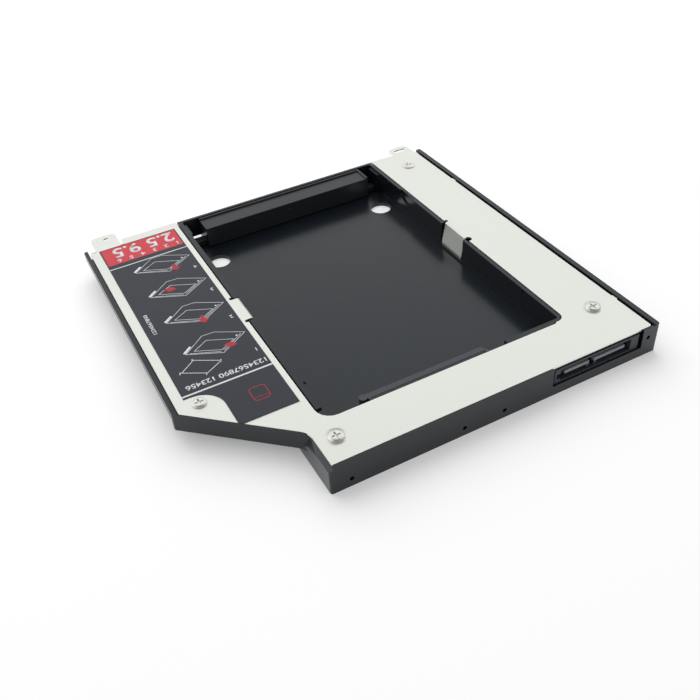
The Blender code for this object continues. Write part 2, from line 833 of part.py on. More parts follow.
def build_retainer():
    """The lift-out retainer: a bar hollow from below, with an L-shaped rim and low arms at its ends."""
    left = bay_left + retainer_left_room
    right = bay_right - retainer_right_room
    near, far, bottom, top = retainer_near, retainer_far, retainer_bottom, retainer_top
    face = top - retainer_rim_height
    retainer = solid("drive_retainer", [block(left, right, near, far, bottom, top)], black_plastic)
    cut(retainer, "top_face", [
        block(left - overshoot, right - retainer_rim, near - overshoot, far - retainer_rim, face,
              top + overshoot),
    ])
    pitch = (right - left - retainer_wall) / retainer_cells
    cells = []
    for index in range(retainer_cells):
        start = left + retainer_wall + index * pitch
        cells.append(block(start, start + pitch - retainer_wall, near + retainer_wall, far - retainer_wall,
                           bottom - overshoot, face - retainer_wall))
    cut(retainer, "cells", cells)
    arm_near = near + arm_setback
    reach = guide_thickness + slide_gap
    join(retainer, "arms", [
        block(bay_left + reach, left + retainer_wall / 2, arm_near, arm_near + arm_width, bottom,
              bottom + arm_height),
        block(right - retainer_wall / 2, bay_right - reach, arm_near, arm_near + arm_width, bottom,
              bottom + arm_height),
    ])
    join(retainer, "bump", [
        (circle((left + right) / 2, bottom + bump_level, bump_diameter, 12), near - bump_height,
         near + retainer_wall / 2, "XZY"),
    ])
    return retainer


def build_board():
    """The adapter board, shaped to its pocket, with holes for the locating pegs."""
    left = bay_left + board_left_room
    right = side - board_right_room - seat_gap
    near, far = wall + seat_gap, cross_wall - seat_gap
    step_x, step_y = board_step_x - seat_gap, board_step - seat_gap
    radius = corner_radius
    board = solid("adapter_board", [(outline([
        (left, near, radius), (right, near, radius), (right, step_y, radius), (step_x, step_y),
        (step_x, far, radius), (left, far, radius),
    ], 3), board_level, board_top)], board_green)
    cut(board, "peg_holes", [(circle(x, y, peg_diameter + peg_hole_room, 14), board_level - overshoot,
                              board_top + overshoot) for x, y in pegs])
    return board


def contact_row(prefix, count, first_x, pitch, bottom, near, far):
    """A row of contact strips, each its own piece."""
    half = contact_width / 2
    for index in range(count):
        x = first_x + index * pitch
        strip = block(x - half, x + half, near, far, bottom, bottom + contact_thickness)
        solid(f"{prefix}_{index + 1:02d}", [strip], gold_plate)


def build_host_connector():
    """The slim host plug: a shroud with two keyed tongues side by side."""
    near, far = host_setback, host_setback + host_length
    back = near + host_socket_depth
    bottom = board_top + contact_gap
    top = bottom + host_height
    shroud = solid("host_connector", [block(host_left, host_right, near, far, bottom, top)], grey_nylon)
    socket_left, socket_right = host_left + host_left_cheek, host_right - host_right_cheek
    cut(shroud, "socket", [
        block(socket_left, socket_right, near - overshoot, back, bottom + host_wall, top - host_wall),
    ])
    middle = (bottom + top) / 2
    cut(shroud, "cheek_slot", [
        block(host_left + host_wall, socket_left + host_wall / 2, near - overshoot, back - host_wall,
              middle - host_cheek_slot, middle + host_cheek_slot / 2),
    ])
    level = bottom + tongue_level
    tongue_top = level + tongue_thickness
    front, root = near + tongue_setback, back + host_wall
    power_left = socket_left + tongue_left_gap
    power_right = power_left + (host_power_count - 1) * contact_pitch + 2 * power_margin + key_width
    data_right = socket_right - tongue_right_gap
    data_left = data_right - (host_data_count - 1) * contact_pitch - 2 * data_margin - key_width
    join(shroud, "tongues", [
        block(power_left, power_right, front, root, level, tongue_top),
        block(data_left, data_right, front, root, level, tongue_top),
    ])
    key = (front, root, level - key_height, level + tongue_thickness / 2)
    join(shroud, "keys", [
        block(power_right - key_width, power_right, *key),
        block(data_left, data_left + key_width, *key),
    ])
    strip_bottom = level - contact_gap - contact_thickness
    strips = (strip_bottom, front + contact_gap * 4, back - contact_gap)
    contact_row("host_power_contact", host_power_count, power_left + power_margin, contact_pitch, *strips)
    contact_row("host_data_contact", host_data_count, data_left + key_width + data_margin, contact_pitch,
                *strips)
    return shroud


def build_drive_connector():
    """The drive socket: a housing on the board whose nose reaches into the bay."""
    near = nose_front - plug_length
    bottom = board_top + contact_gap
    top = bottom + plug_height
    nose_back = nose_front - nose_length
    profile = [
        (near, bottom), (nose_front, bottom), (nose_front, top - nose_drop * 2),
        (nose_front - nose_drop, top - nose_drop),
        (nose_back, top - nose_drop), (nose_back - nose_drop, top), (near, top),
    ]
    housing = solid("drive_connector", [(profile, nose_left, nose_right, "YZX")], grey_nylon)
    cut(housing, "end_bevel", [
        ([(nose_right - nose_drop * 2, nose_front + overshoot), (nose_right - nose_drop * 2, nose_front),
          (nose_right, nose_back), (nose_right + overshoot, nose_back),
          (nose_right + overshoot, nose_front + overshoot)],
         bottom - overshoot, top + overshoot),
    ])
    middle = (bottom + top - nose_drop) / 2
    slot_bottom, slot_top = middle - slot_height / 2, middle + slot_height / 2
    slot_back = nose_front - slot_depth
    power_width = (drive_power_count - 1) * contact_pitch + 2 * contact_pitch
    data_width = (drive_data_count - 1) * contact_pitch + 2 * contact_pitch
    power_left = nose_left + slot_end_margin
    data_left = power_left + power_width + slot_divider
    ends = (slot_back, nose_front + overshoot)
    cut(housing, "slots", [
        block(power_left, power_left + power_width, *ends, slot_bottom, slot_top),
        block(data_left, data_left + data_width, *ends, slot_bottom, slot_top),
    ])
    cut(housing, "key_ways", [
        block(power_left, power_left + key_width, *ends, slot_bottom - slot_key_height, middle),
        block(data_left + data_width - key_width, data_left + data_width, *ends,
              slot_bottom - slot_key_height, middle),
    ])
    radius = post_diameter / 2
    join(housing, "guide_post", [
        (circle(nose_left - radius + post_overlap, nose_front - radius, post_diameter, 14), bottom,
         top - nose_drop),
    ])
    join(housing, "post_neck", [
        block(nose_left - radius, nose_left + radius, near + radius, nose_front - radius, bottom, middle),
    ])
    strip_bottom = slot_top - contact_gap - contact_thickness
    strips = (strip_bottom, slot_back + contact_gap, nose_front - nose_drop * 2)
    contact_row("drive_power_contact", drive_power_count, power_left + contact_pitch, contact_pitch, *strips)
    contact_row("drive_data_contact", drive_data_count, data_left + contact_pitch, contact_pitch, *strips)
    return housing


def build_capacitors():
    """Small ceramic capacitors on the board, in front of the drive socket."""
    near = wall + seat_gap + capacitor_width
    bottom = board_top + contact_gap
    for index in range(3):
        x = nose_left + (index + 0.5) * capacitor_pitch
        solid(f"board_capacitor_{index + 1}", [
            block(x, x + capacitor_length, near, near + capacitor_width, bottom, bottom + capacitor_height),
        ], ceramic)


build_frame()
build_cover_plate()
build_label()
for screw in screws:
    build_screw(*screw)
build_retainer()
build_board()
build_host_connector()
build_drive_connector()
build_capacitors()
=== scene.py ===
"""Dressed model of a slim optical-bay drive caddy on a pale floor.

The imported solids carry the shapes. This script gives them their finishes, rounds the retainer's
edges, steps the drive socket's lip, draws the label's print and sets the floor, the light and the
camera. The frame's edges stay all but sharp.
"""

import math

import bmesh
import bpy
from mathutils import Matrix, Vector


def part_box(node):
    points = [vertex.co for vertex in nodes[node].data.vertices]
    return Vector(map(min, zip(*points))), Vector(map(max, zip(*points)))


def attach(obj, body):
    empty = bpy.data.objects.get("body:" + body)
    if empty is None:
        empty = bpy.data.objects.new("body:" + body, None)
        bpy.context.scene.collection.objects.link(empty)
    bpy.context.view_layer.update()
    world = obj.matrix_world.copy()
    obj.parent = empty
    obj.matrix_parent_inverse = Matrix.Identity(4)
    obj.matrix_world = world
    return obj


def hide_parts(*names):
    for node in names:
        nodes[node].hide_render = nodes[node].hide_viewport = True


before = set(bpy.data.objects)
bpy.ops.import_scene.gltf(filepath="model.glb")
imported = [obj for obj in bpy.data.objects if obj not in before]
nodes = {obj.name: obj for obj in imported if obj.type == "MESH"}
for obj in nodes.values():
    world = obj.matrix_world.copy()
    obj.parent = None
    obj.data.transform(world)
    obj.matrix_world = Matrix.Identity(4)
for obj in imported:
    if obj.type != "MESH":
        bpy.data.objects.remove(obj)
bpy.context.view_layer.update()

MM = 0.001

# Rounded edges of the retainer. On the frame the overlap clamp leaves faces only 0.0013 mm wide
edge_round = 0.00012
edge_segments = 2
edge_angle = math.radians(40)

# Ejector-pin marks in the finish of the frame's underside, too faint to be seen in a picture
ejector_level = 0.1 * MM
ejector_radius = 2.2 * MM
ejector_columns = (-0.024, 0.006, 0.036)
ejector_rows = (-0.040, 0.002, 0.040)

# Shallow step behind the drive socket's lip, measured from the front and sides of its nose; its faces are
# painted darker as painted shade
groove_front = 2.1 * MM
groove_back = 3.7 * MM
groove_depth = 0.15 * MM
groove_left = 2.5 * MM
groove_right = 0.9 * MM

# The host plug's tongues, which get a painted highlight, measured from the plug's own box
tongue_low = 1.75 * MM
tongue_high = 2.85 * MM
tongue_side = 3.0 * MM

# Dimples pressed in the plate round the pan heads, and how far the screw heads fall to their rims
dimple_inner = 2.3 * MM
dimple_outer = 3.1 * MM
pan_crown = 0.6
flush_crown = 0.2

# Label print
ink = 0.012 * MM
ink_overlap = 0.004 * MM
fine_line = 0.155 * MM
thick_line = 0.40 * MM
bezel_line = 0.75 * MM

# Where the print lies on the label, in millimetres from the far edge
field_margin = 0.4
field_end = 10.5
first_rule = 12.8
second_rule = 80.8
tray_rows = (13.2, 28.3, 43.0, 59.3)
step_rows = (24.6, 38.9, 54.7, 72.2)

# Camera, worked out from the photograph's perspective
picture_pixels = 700
focal_pixels = 840.17
camera_azimuth = math.radians(-25.49)
camera_elevation = math.radians(40.11)
camera_roll = math.radians(-4.22)
camera_distance = 242.73 * MM
camera_target = Vector((-8.67, 45.25, 0.0)) * MM + Vector((0.0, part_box("frame")[0].y, 0.0))

# Sky: its plain level, the levels that reflections see, and the heights and depths where they change
sky_level = 0.55
near_sky = 0.35
low_sky = 0.92
high_sky = 0.15
bright_sky = 1.04
near_to_far = (-0.40, 0.10)
low_to_bright = (0.36, 0.60)
bright_to_high = (0.80, 0.96)

# Floor, which is lifted a little more beyond the soft shadow
floor_reach = 6.0
floor_tone = 0.84
floor_lift = 0.25
far_lift = 0.27
lift_range = (0.32, 1.0)

# Lamps, with watts, metres across and places
soft_power = 4.8
soft_size = 1.10
soft_place = Vector((0.04, 0.52, 0.62))
edge_power = 0.7
edge_size = 0.45
edge_place = Vector((-0.77, 0.83, 0.40))


class Signal:
    """A number that a node gives. Arithmetic on it adds Math nodes."""

    def __init__(self, tree, socket):
        self.tree = tree
        self.socket = socket

    def math(self, operation, *values):
        node = self.tree.nodes.new("ShaderNodeMath")
        node.operation = operation
        for slot, value in zip(node.inputs, values):
            if isinstance(value, Signal):
                self.tree.links.new(value.socket, slot)
            else:
                slot.default_value = value
        return Signal(self.tree, node.outputs[0])

    def __add__(self, other):
        return self.math("ADD", self, other)

    __radd__ = __add__

    def __mul__(self, other):
        return self.math("MULTIPLY", self, other)

    __rmul__ = __mul__

    def __sub__(self, other):
        return self.math("SUBTRACT", self, other)

    def __rsub__(self, other):
        return self.math("SUBTRACT", other, self)

    def __abs__(self):
        return self.math("ABSOLUTE", self)

    def __gt__(self, other):
        return self.math("GREATER_THAN", self, other)

    def sine(self):
        return self.math("SINE", self)

    def smooth(self, low, high):
        """0 below low, 1 above high and smooth between them."""
        node = self.tree.nodes.new("ShaderNodeMapRange")
        node.interpolation_type = "SMOOTHSTEP"
        node.inputs["From Min"].default_value = low
        node.inputs["From Max"].default_value = high
        self.tree.links.new(self.socket, node.inputs["Value"])
        return Signal(self.tree, node.outputs["Result"])


class Finish:
    """A material round one Principled shader, with patterns on Object coordinates."""

    def __init__(self, name, constants=None):
        self.material = bpy.data.materials.new(name)
        self.material.use_nodes = True
        self.tree = self.material.node_tree
        self.shader = self.tree.nodes["Principled BSDF"]
        self.place = self.node("ShaderNodeTexCoord", {}, {}, "Object").socket
        for socket, value in (constants or {}).items():
            self.shader.inputs[socket].default_value = value

    def node(self, kind, settings, sockets, output=0):
        """Add a node, set its settings first and then its sockets, and return one output."""
        made = self.tree.nodes.new(kind)
        for name, value in settings.items():
            setattr(made, name, value)
        for name, value in sockets.items():
            self.feed(made.inputs[name], value)
        return Signal(self.tree, made.outputs[output])

    def feed(self, socket, value):
        """Give a socket a number, a colour or another node's output."""
        if isinstance(value, Signal):
            self.tree.links.new(value.socket, socket)
        elif isinstance(value, bpy.types.NodeSocket):
            self.tree.links.new(value, socket)
        else:
            socket.default_value = value

    def noise(self, size, detail=2.0, stretch=(1.0, 1.0, 1.0), roughness=0.5):
        """Noise from 0 to 1 whose spots are about size metres across."""
        place = self.node("ShaderNodeMapping", {}, {"Vector": self.place, "Scale": stretch})
        return self.node("ShaderNodeTexNoise", {},
                         {"Vector": place, "Scale": 1.0 / size, "Detail": detail, "Roughness": roughness})

    def along(self, axis):
        """The place along one axis, in metres."""
        return self.node("ShaderNodeSeparateXYZ", {}, {"Vector": self.place}, axis)

    def radius(self, centre):
        """The distance from an upright axis through a point, in metres."""
        offset = self.node("ShaderNodeVectorMath", {"operation": "MULTIPLY_ADD"},
                           {0: self.place, 1: (1.0, 1.0, 0.0), 2: (-centre.x, -centre.y, 0.0)})
        return self.node("ShaderNodeVectorMath", {"operation": "LENGTH"}, {0: offset}, "Value")

    def blend(self, low, high, factor):
        """A colour between two colours."""
        node = self.tree.nodes.new("ShaderNodeMix")
        node.data_type = "RGBA"
        by_identifier = {socket.identifier: socket for socket in node.inputs}
        for name, value in (("Factor_Float", factor), ("A_Color", low), ("B_Color", high)):
            self.feed(by_identifier[name], (*value, 1.0) if isinstance(value, tuple) else value)
        return next(socket for socket in node.outputs if socket.identifier == "Result_Color")

    def bump(self, height, distance, strength=1.0):
        """Raise the surface by height, which is 0 to 1, times distance in metres."""
        normal = self.node("ShaderNodeBump", {},
                           {"Height": height, "Distance": distance, "Strength": strength}, "Normal")
        self.tree.links.new(normal.socket, self.shader.inputs["Normal"])

    def colour(self, value):
        self.feed(self.shader.inputs["Base Color"], value)

    def roughness(self, value):
        self.feed(self.shader.inputs["Roughness"], value)


def moulded_black(name, tone, shine, ejectors=()):
    """Spark-eroded black moulding: fine grain, faint flow marks, a little dust and ejector marks below."""
    finish = Finish(name, {"Specular IOR Level": 0.46, "Specular Tint": (0.91, 0.97, 1.0, 1.0)})
    grain = finish.noise(0.16 * MM, 3.0)
    flow = finish.noise(16 * MM, 3.0, (1.0, 0.35, 1.0))
    dust = finish.noise(0.55 * MM, 1.0).smooth(0.72, 0.80)
    deep = tuple(0.82 * value for value in tone)
    pale = tuple(1.22 * value for value in tone)
    dusty = tuple(value + 0.018 for value in tone)
    base = finish.blend(deep, pale, 0.6 * grain + 0.4 * flow)
    finish.colour(finish.blend(base, dusty, 0.45 * dust))
    finish.roughness(shine + 0.08 * grain + 0.08 * flow + 0.10 * dust)
    below = 1.0 - (finish.along("Z") > ejector_level)
    marks = 0.0
    for centre in ejectors:
        marks = marks + finish.radius(centre).smooth(ejector_radius, ejector_radius + 0.15 * MM) * below
    finish.bump(0.08 * grain + marks, 0.15 * MM, 0.5)
    return finish.material


def satin_sheet(dimples):
    """Rolled, nickel-plated sheet: a lengthwise grain, cloudy patches, scratches and pressed dimples."""
    finish = Finish("satin_sheet", {"Metallic": 0.92})
    grain = finish.noise(0.10 * MM, 2.0, (1.0, 0.03, 1.0))
    cloud = finish.noise(22 * MM, 3.0)
    hair = finish.noise(0.7 * MM, 2.0, (1.0, 0.016, 1.0), 0.6).smooth(0.69, 0.74)
    base = finish.blend((0.84, 0.86, 0.80), (0.92, 0.94, 0.89), 0.5 * grain + 0.5 * cloud)
    finish.colour(finish.blend(base, (0.70, 0.72, 0.67), 0.35 * hair))
    finish.roughness(0.36 + 0.10 * grain + 0.08 * cloud - 0.08 * hair)
    pressed = 0.0
    for centre in dimples:
        pressed = pressed + finish.radius(centre).smooth(dimple_inner, dimple_outer)
    finish.bump(0.02 * grain - 0.015 * hair + pressed, 0.16 * MM)
    return finish.material


def printed_film():
    """Charcoal polyester film with a fine matt grain and faint waves from the glue."""
    finish = Finish("printed_film",
                    {"Specular IOR Level": 0.44, "Coat Weight": 0.10, "Coat Roughness": 0.35})
    grain = finish.noise(0.12 * MM, 2.0)
    wave = finish.noise(7 * MM, 2.0)
    finish.colour(finish.blend((0.013, 0.016, 0.026), (0.022, 0.026, 0.037), 0.5 * grain + 0.5 * wave))
    finish.roughness(0.44 + 0.10 * grain)
    finish.bump(0.3 * grain + wave, 0.010 * MM, 0.7)
    return finish.material


def screen_ink(name, thin, full):
    """Screen-printed ink, a little thin in places."""
    finish = Finish(name)
    cover = finish.noise(0.20 * MM, 3.0)
    patch = finish.noise(3 * MM, 2.0)
    finish.colour(finish.blend(thin, full, (0.6 * cover + 0.4 * patch).smooth(0.30, 0.55)))
    finish.roughness(0.45 + 0.12 * cover)
    finish.bump(cover, 0.004 * MM)
    return finish.material


def turned_steel(name, centre, head_radius, crown):
    """Nickel-plated screw: turning marks round its own axis on a head that falls away to its rim."""
    finish = Finish(name, {"Metallic": 1.0})
    radius = finish.radius(centre)
    rings = 0.5 + 0.5 * (radius * (2 * math.pi / (0.16 * MM))).sine()
    mottle = finish.noise(0.30 * MM, 3.0)
    wear = finish.noise(1.1 * MM, 2.0).smooth(0.45, 0.70)
    base = finish.blend((0.74, 0.74, 0.69), (0.87, 0.87, 0.82), 0.4 * rings + 0.6 * mottle)
    finish.colour(finish.blend(base, (0.92, 0.92, 0.88), 0.5 * wear))
    finish.roughness(0.24 + 0.12 * mottle + 0.05 * rings)
    fall = radius * (1.0 / head_radius)
    fall = fall * fall
    finish.bump(0.009 * rings + 0.006 * mottle - crown * fall * fall, 0.40 * MM)
    return finish.material


def moulded_nylon(name, deep, pale, tongues=None):
    """Glass-filled grey nylon: short pale fibres in a dark matrix, and, if it has tongues, a paler colour
    on them that is painted light.
    """
    finish = Finish(name)
    grain = finish.noise(0.14 * MM, 2.0)
    fibre = finish.noise(0.22 * MM, 1.0, (0.22, 1.0, 1.0)).smooth(0.58, 0.74)
    base = finish.blend(deep, pale, grain)
    if tongues:
        low, high = tongues
        height = finish.along("Z")
        across = finish.along("X")
        tongue_highlight = (height > low.z + tongue_low) * (1.0 - (height > low.z + tongue_high))
        inner = (across > low.x + tongue_side) * (1.0 - (across > high.x - tongue_side))
        # The tongues' paler colour is a painted highlight for the light they catch in the socket.
        base = finish.blend(base, (0.24, 0.27, 0.29), tongue_highlight * inner)
    finish.colour(finish.blend(base, (0.085, 0.085, 0.092), 0.5 * fibre))
    finish.roughness(0.42 + 0.16 * grain)
    finish.bump(grain + 0.5 * fibre, 0.008 * MM, 0.8)
    return finish.material


def solder_mask():
    """Green board: raised copper tracks under the mask and bare weave at a fine scale."""
    finish = Finish("solder_mask", {"Coat Weight": 0.3, "Coat Roughness": 0.2})
    weave = finish.noise(0.35 * MM, 1.0)
    track = finish.node("ShaderNodeTexWave", {"bands_direction": "X"},
                        {"Vector": finish.place, "Scale": 75.0, "Distortion": 1.5, "Detail": 0.0}, "Fac")
    copper = track.smooth(0.55, 0.65)
    finish.colour(finish.blend((0.008, 0.070, 0.030), (0.030, 0.150, 0.070), 0.7 * copper + 0.3 * weave))
    finish.roughness(0.30 + 0.15 * weave)
    finish.bump(copper + 0.2 * weave, 0.02 * MM, 0.6)
    return finish.material


def contact_gold():
    """Gold flash over nickel, rubbed paler where the plug slides."""
    finish = Finish("contact_gold", {"Metallic": 1.0})
    rub = finish.noise(0.25 * MM, 2.0, (1.0, 0.12, 1.0))
    finish.colour(finish.blend((0.72, 0.50, 0.18), (0.90, 0.74, 0.42), rub.smooth(0.35, 0.70)))
    finish.roughness(0.20 + 0.18 * rub)
    finish.bump(rub, 0.003 * MM)
    return finish.material


def chip_ceramic(name, centre, half_length):
    """Tan ceramic with tinned ends."""
    finish = Finish(name)
    ends = abs(finish.along("X") - centre.x).smooth(0.55 * half_length, 0.62 * half_length)
    speck = finish.noise(0.10 * MM, 2.0)
    body = finish.blend((0.26, 0.16, 0.09), (0.36, 0.25, 0.15), speck)
    finish.colour(finish.blend(body, (0.72, 0.72, 0.72), ends))
    finish.roughness(0.55 - 0.25 * ends + 0.1 * speck)
    finish.feed(finish.shader.inputs["Metallic"], ends)
    finish.bump(speck, 0.006 * MM)
    return finish.material


def paint(names, material):
    """Give CAD nodes a finish through their material slots."""
    for name in names:
        for slot in nodes[name].material_slots:
            slot.material = material


def place_piece(name, bm, material, body):
    """Turn a bmesh into a piece that rides on a body."""
    bmesh.ops.recalc_face_normals(bm, faces=bm.faces)
    mesh = bpy.data.meshes.new(name)
    bm.to_mesh(mesh)
    bm.free()
    mesh.materials.append(material)
    piece = bpy.data.objects.new(name, mesh)
    bpy.context.scene.collection.objects.link(piece)
    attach(piece, body)
    return piece


def round_edges(node, name, material, body):
    """A copy of a moulded node with its sharp edges rounded, as far as the overlap clamp lets them be."""
    bm = bmesh.new()
    bm.from_mesh(nodes[node].data)
    bmesh.ops.remove_doubles(bm, verts=bm.verts, dist=0.002 * MM)
    bmesh.ops.dissolve_limit(bm, angle_limit=math.radians(1), verts=bm.verts, edges=bm.edges)
    sharp = [edge for edge in bm.edges if edge.is_manifold and edge.calc_face_angle() > edge_angle]
    bmesh.ops.bevel(bm, geom=sharp, offset=edge_round, offset_type="OFFSET", affect="EDGES", profile=0.5,
                    segments=edge_segments, clamp_overlap=True, material=-1, harden_normals=False)
    bmesh.ops.triangulate(bm, faces=bm.faces)
    piece = place_piece(name, bm, material, body)
    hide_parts(node)


def groove_socket(material, groove_shade_material):
    """The drive socket with a shallow step between its lip and the plate, whose faces take a darker nylon
    as painted shade.
    """
    low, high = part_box("drive_connector")
    bm = bmesh.new()
    bm.from_mesh(nodes["drive_connector"].data)
    bmesh.ops.remove_doubles(bm, verts=bm.verts, dist=0.002 * MM)
    bmesh.ops.dissolve_limit(bm, angle_limit=math.radians(1), verts=bm.verts, edges=bm.edges)
    front, back = high.y - groove_front, high.y - groove_back
    left, right = low.x + groove_left, high.x - groove_right
    for point, normal in (((0, front, 0), (0, 1, 0)), ((0, back, 0), (0, 1, 0)),
                          ((left, 0, 0), (1, 0, 0)), ((right, 0, 0), (1, 0, 0))):
        everything = bm.verts[:] + bm.edges[:] + bm.faces[:]
        bmesh.ops.bisect_plane(bm, geom=everything, plane_co=point, plane_no=normal)
    bm.normal_update()
    top = []
    for face in bm.faces:
        middle = face.calc_center_median()
        inside = back < middle.y < front and left < middle.x < right
        if inside and face.normal.z > 0.5 and middle.z > high.z - 2 * groove_depth:
            top.append(face)
    grown = bmesh.ops.extrude_face_region(bm, geom=top)
    bmesh.ops.delete(bm, geom=top, context="FACES_ONLY")
    moved = [item for item in grown["geom"] if isinstance(item, bmesh.types.BMVert)]
    bmesh.ops.translate(bm, verts=moved, vec=(0, 0, -groove_depth))
    # The step's floor and walls get the darker second material, which is painted shade.
    for face in {face for vertex in moved for face in vertex.link_faces}:
        face.material_index = 1
    bmesh.ops.triangulate(bm, faces=bm.faces)
    piece = place_piece("grooved_drive_socket", bm, material, "caddy")
    piece.data.materials.append(groove_shade_material)
    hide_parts("drive_connector")


# The label is drawn as its reader sees it from the bezel edge: right is -X and up is -Y
label_low, label_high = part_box("label")
label_top = label_high.z
label_wide = label_high.x - label_low.x


def on_label(right, up, level=0.0):
    """A point on the label, in millimetres from its lower left corner as it is read."""
    return Vector((label_high.x - right * MM, label_high.y - up * MM, label_top + level))


def raise_ink(bm, faces):
    """Lift flat faces to the thickness of ink, so that they are closed and stand on the film."""
    grown = bmesh.ops.extrude_face_region(bm, geom=faces)
    tops = [item for item in grown["geom"] if isinstance(item, bmesh.types.BMVert)]
    bmesh.ops.translate(bm, verts=tops, vec=(0, 0, ink + ink_overlap))


def flat_face(bm, points, level=0.0):
    face = bm.faces.new([bm.verts.new(on_label(*point, level - ink_overlap)) for point in points])
    face.normal_update()
    return face


def ink_field(bm, points, level=0.0):
    """A filled shape."""
    raise_ink(bm, [flat_face(bm, points, level)])


def ink_outline(bm, points, width=fine_line, radius=0.0):
    """A closed line inside the corner points, with rounded corners if a radius is given."""
    face = flat_face(bm, points)
    if radius:
        rounded = bmesh.ops.bevel(bm, geom=list(face.verts), offset=radius, offset_type="OFFSET",
                                  affect="VERTICES", profile=0.5, segments=5, material=-1)
        face = rounded["verts"][0].link_faces[0]
    inside = [face]
    ring = bmesh.ops.inset_region(bm, faces=inside, thickness=width, use_even_offset=True,
                                  use_boundary=True)
    bmesh.ops.delete(bm, geom=inside, context="FACES_ONLY")
    raise_ink(bm, ring["faces"])


def ink_stroke(bm, start, end, width=fine_line):
    """A straight line from one point to another."""
    start, end = Vector(start), Vector(end)
    side = (end - start).orthogonal().normalized() * width / MM / 2
    ink_field(bm, [start - side, end - side, end + side, start + side])


def ink_disc(bm, centre, diameter):
    round_face = bmesh.ops.create_circle(bm, cap_ends=True, segments=20, radius=diameter * MM / 2,
                                         matrix=Matrix.Translation(on_label(*centre, -ink_overlap)))
    raise_ink(bm, round_face["verts"][0].link_faces[:])


def ink_number(bm, text, right, up, height, level=0.0, stretch=1.0, turn=0.0):
    """Plain figures of a height, set from their lower left corner and widened by stretch."""
    curve = bpy.data.curves.new("figures", "FONT")
    curve.body = text
    curve.size = 1.0
    curve.offset = 0.02
    figures = bpy.data.objects.new("figures", curve)
    mesh = bpy.data.meshes.new_from_object(figures)
    low = Vector([min(vertex.co[axis] for vertex in mesh.vertices) for axis in range(3)])
    high = Vector([max(vertex.co[axis] for vertex in mesh.vertices) for axis in range(3)])
    size = height * MM / (high.y - low.y)
    scale = Matrix.Diagonal((stretch * size, size, 1.0, 1.0))
    start = Matrix.Translation(on_label(right, up, level - ink_overlap))
    spin = Matrix.Rotation(math.pi + turn, 4, "Z")
    mesh.transform(start @ spin @ scale @ Matrix.Translation(-low))
    flat = bmesh.new()
    flat.from_mesh(mesh)
    raise_ink(flat, flat.faces[:])
    flat.to_mesh(mesh)
    flat.free()
    bm.from_mesh(mesh)
    bpy.data.objects.remove(figures)
    bpy.data.curves.remove(curve)
    bpy.data.meshes.remove(mesh)


def draw_tray(bm, up):
    """A small picture of the tray in perspective: its outline, bay, thickness, bezel and screw."""
    left, far_left, far_right, right, near = [(19.1, 5.5), (12.3, 0.0), (8.6, 0.2), (1.0, 4.8), (9.5, 10.3)]
    outer = [(u, v + up) for u, v in (left, far_left, far_right, right, near)]
    bay = [(u, v + up) for u, v in ((16.6, 5.3), (11.9, 2.5), (4.8, 6.1), (9.5, 8.9))]
    ink_outline(bm, outer)
    ink_outline(bm, bay)
    ink_stroke(bm, (left[0] - 1.2, left[1] + up + 0.2), (near[0] + 0.5, near[1] + up - 0.9))
    ink_stroke(bm, (near[0] - 0.4, near[1] + up - 1.0), (right[0] + 1.4, right[1] + up + 0.1))
    ink_stroke(bm, (left[0] + 0.2, left[1] + up - 0.5), (left[0] - 2.4, left[1] + up - 2.6), bezel_line)
    ink_disc(bm, (3.7, up + 5.0), 0.6)


white_ink = screen_ink("white_ink", (0.62, 0.63, 0.66), (0.80, 0.80, 0.82))
red_ink = screen_ink("red_ink", (0.54, 0.030, 0.046), (0.62, 0.044, 0.062))
mark_ink = screen_ink("mark_ink", (0.26, 0.012, 0.020), (0.46, 0.022, 0.034))


def print_white():
    """Everything white on the label."""
    bm = bmesh.new()
    wide = label_wide / MM
    ink_stroke(bm, (0.0, first_rule), (wide, first_rule), thick_line)
    ink_stroke(bm, (0.0, second_rule), (wide, second_rule), 1.4 * thick_line)
    for up in tray_rows:
        draw_tray(bm, up)
    ink_number(bm, "2.5 9.5", 1.8, 1.2, 5.8, ink, 0.98)
    ink_number(bm, "1   2   3   4   5   6", 1.6, 7.9, 1.9, ink, 1.15)
    for index, up in enumerate(step_rows):
        ink_number(bm, str(len(step_rows) - index), 1.2, up, 1.5)
    ink_number(bm, "1234567890 123456", 0.7, 77.2, 1.9, stretch=1.13)
    ink_number(bm, "1234567890", 22.7, 51.6, 1.2, stretch=1.35, turn=-math.pi / 2)
    drive = [(22.7, 71.5), (18.0, 68.0), (11.2, 72.2), (16.5, 75.2)]
    ink_outline(bm, drive, 1.3 * fine_line)
    for right, up in drive:
        ink_stroke(bm, (right + 0.1, up - 0.5), (right + 0.5, up + 0.5), 1.6 * fine_line)
    place_piece("label_white_print", bm, white_ink, "caddy")


def ink_arrow(bm, right, up, size):
    """A short fat arrow that points down into a picture."""
    shape = [(-0.3, -1.0), (0.3, -1.0), (0.3, 0.1), (1.0, 0.1), (0.0, 1.0), (-1.0, 0.1), (-0.3, 0.1)]
    ink_field(bm, [(right + size * u, up + size * v) for u, v in shape], ink)


def ink_lozenge(bm, right, up, size):
    """A small drive seen in perspective."""
    shape = [(-1.0, 0.40), (-0.3, -0.65), (1.0, -0.40), (0.3, 0.65)]
    ink_field(bm, [(right + size * u, up + size * v) for u, v in shape], ink)


def print_red():
    """The red field."""
    bm = bmesh.new()
    wide = label_wide / MM
    ink_field(bm, [(field_margin, field_margin), (wide - field_margin, field_margin),
                   (wide - field_margin, field_end), (field_margin, field_end)])
    place_piece("label_red_print", bm, red_ink, "caddy")


